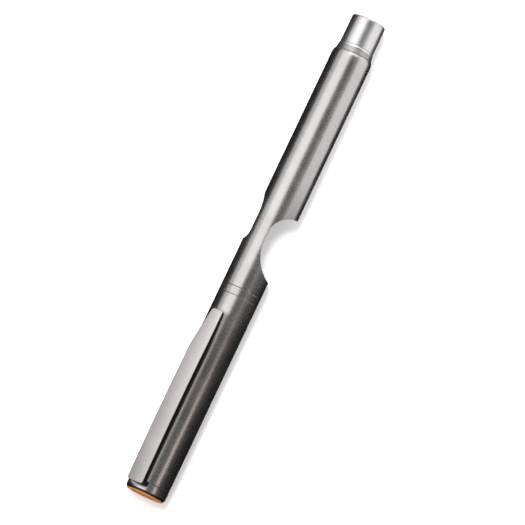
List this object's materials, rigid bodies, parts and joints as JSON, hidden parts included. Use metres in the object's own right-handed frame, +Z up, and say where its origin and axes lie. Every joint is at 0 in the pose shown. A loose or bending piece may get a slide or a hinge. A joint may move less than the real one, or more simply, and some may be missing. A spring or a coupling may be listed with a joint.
{
  "type": "pocket scriber",
  "caption": "Pen-shaped metal scriber with a pocket-clip cap over a collet-held carbide point, a finger notch in the barrel and a screwed tail plug.",
  "frame": {"origin": "on the floor under the middle of the capped tool's bounding box", "axes": "+X along the tool from the cap end to the tail, +Z up from the surface that it lies on"},
  "size_m": [0.1392, 0.012, 0.0136],
  "materials": {
    "barrel_metal": "stonewashed",
    "cap_metal": "stonewashed",
    "clip_metal": "bead blasted",
    "steel": "turned",
    "brass": "turned",
    "copper": "satin copper",
    "carbide": "ground",
    "rubber": "matte",
    "sleeve_plastic": "matte"
  },
  "bodies": {
    "body": {"barrel": "barrel_metal", "tail_thread": "barrel_metal", "trim_ring": "cap_metal", "grip_section": "steel", "section_seal": "rubber", "stop_screw": "steel"},
    "sleeve": {"tip_sleeve": "sleeve_plastic"},
    "washer": {"cap_washer": "rubber"},
    "cap": {"cap_tube": "cap_metal", "thread_insert": "brass", "tip_pad": "rubber", "finial_ring": "cap_metal", "finial_screw": "steel", "end_disc": "copper"},
    "clip": {"clip": "clip_metal"},
    "collet": {"collet": "brass"},
    "nut": {"collet_nut": "steel"},
    "point": {"point_shank": "steel", "carbide_tip": "carbide"},
    "plug_seal": {"plug_seal": "rubber"},
    "plug": {"tail_plug": "barrel_metal", "spare_bush": "brass", "spare_point": "carbide"}
  },
  "joints": [
    {"name": "cap_draw", "type": "slide", "parent": "body", "child": "sleeve", "axis": [-1, 0, 0], "range_m": [0, 0.056]},
    {"name": "cap_advance", "type": "slide", "parent": "sleeve", "child": "washer", "axis": [-1, 0, 0], "range_m": [0, 0.0016]},
    {"name": "cap_turn", "type": "hinge", "parent": "washer", "child": "cap", "pos_m": [-0.0396, -0.0004, 0.00557], "axis": [-1, 0, 0], "range_deg": [0, 720]},
    {"name": "clip_flex", "type": "hinge", "parent": "cap", "child": "clip", "pos_m": [-0.06715, 0.00242, 0.01], "axis": [0, -0.8434, 0.5373], "range_deg": [0, 3.5], "stiffness_Nm_per_rad": 4},
    {"name": "collet_travel", "type": "slide", "parent": "body", "child": "collet", "axis": [-1, 0, 0], "range_m": [0, 0.0008]},
    {"name": "nut_turn", "type": "hinge", "parent": "collet", "child": "nut", "pos_m": [-0.0476, -0.0004, 0.00557], "axis": [-1, 0, 0], "range_deg": [0, 360]},
    {"name": "point_slide", "type": "slide", "parent": "collet", "child": "point", "axis": [1, 0, 0], "range_m": [0, 0.005]},
    {"name": "plug_advance", "type": "slide", "parent": "body", "child": "plug_seal", "axis": [1, 0, 0], "range_m": [0, 0.0064]},
    {"name": "plug_turn", "type": "hinge", "parent": "plug_seal", "child": "plug", "pos_m": [0.0624, -0.0004, 0.00557], "axis": [1, 0, 0], "range_deg": [0, 2880]}
  ],
  "couplings": [
    {"joint": "cap_turn", "follows": "cap_advance", "rad_per_m": 7854},
    {"joint": "nut_turn", "follows": "collet_travel", "rad_per_m": 7854},
    {"joint": "plug_turn", "follows": "plug_advance", "rad_per_m": 7854}
  ]
}
